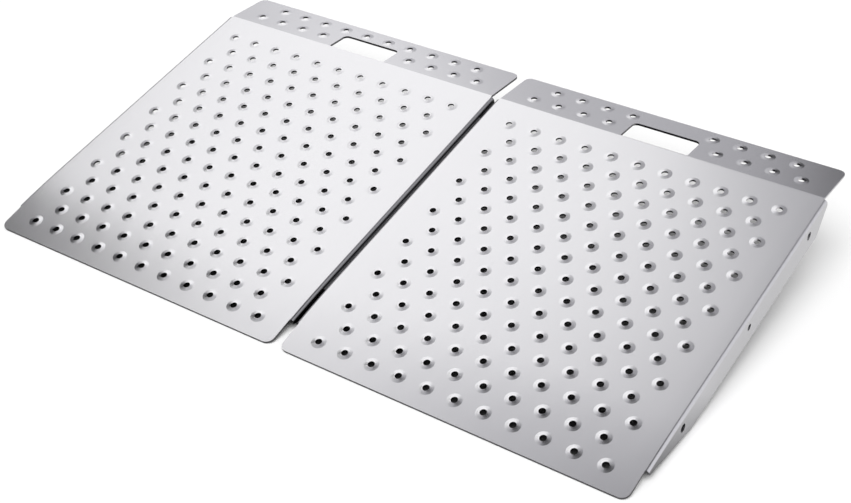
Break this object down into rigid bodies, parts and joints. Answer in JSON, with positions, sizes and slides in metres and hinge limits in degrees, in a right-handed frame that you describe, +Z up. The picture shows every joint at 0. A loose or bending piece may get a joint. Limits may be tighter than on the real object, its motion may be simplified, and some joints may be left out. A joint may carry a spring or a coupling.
{
  "type": "threshold ramp",
  "caption": "Folding threshold ramp of pierced aluminium sheet panels hinged side by side, with side flanges, level lips and hand slots.",
  "frame": {"origin": "on the floor below the middle of the open ramp's bounding box", "axes": "+X across the ramp to the right of a person going up it, +Y forwards up the slope from the toe edge to the lip, +Z up"},
  "size_m": [0.7916, 0.4652, 0.0969],
  "materials": {
    "panel_sheet": "satin, unpainted",
    "hinge_steel": "stainless, brushed",
    "zinc_fastener": "bright zinc plate"
  },
  "bodies": {
    "left_half": {"left_panel": "panel_sheet", "left_hinge_leaf": "hinge_steel", "hinge_pin": "hinge_steel", "pin_clip": "zinc_fastener", "left_end_studs": "zinc_fastener", "left_middle_stud": "zinc_fastener", "left_end_washers": "zinc_fastener", "left_middle_washer": "zinc_fastener", "left_end_nuts": "zinc_fastener", "left_middle_nut": "zinc_fastener"},
    "right_half": {"right_panel": "panel_sheet", "right_hinge_leaf": "hinge_steel", "right_end_studs": "zinc_fastener", "right_middle_stud": "zinc_fastener", "right_end_washers": "zinc_fastener", "right_middle_washer": "zinc_fastener", "right_end_nuts": "zinc_fastener", "right_middle_nut": "zinc_fastener"}
  },
  "joints": [
    {"name": "fold_hinge", "type": "hinge", "parent": "left_half", "child": "right_half", "pos_m": [0, 0.03101, 0.03058], "axis": [0, 0.9763, 0.2164], "range_deg": [0, 180]}
  ]
}
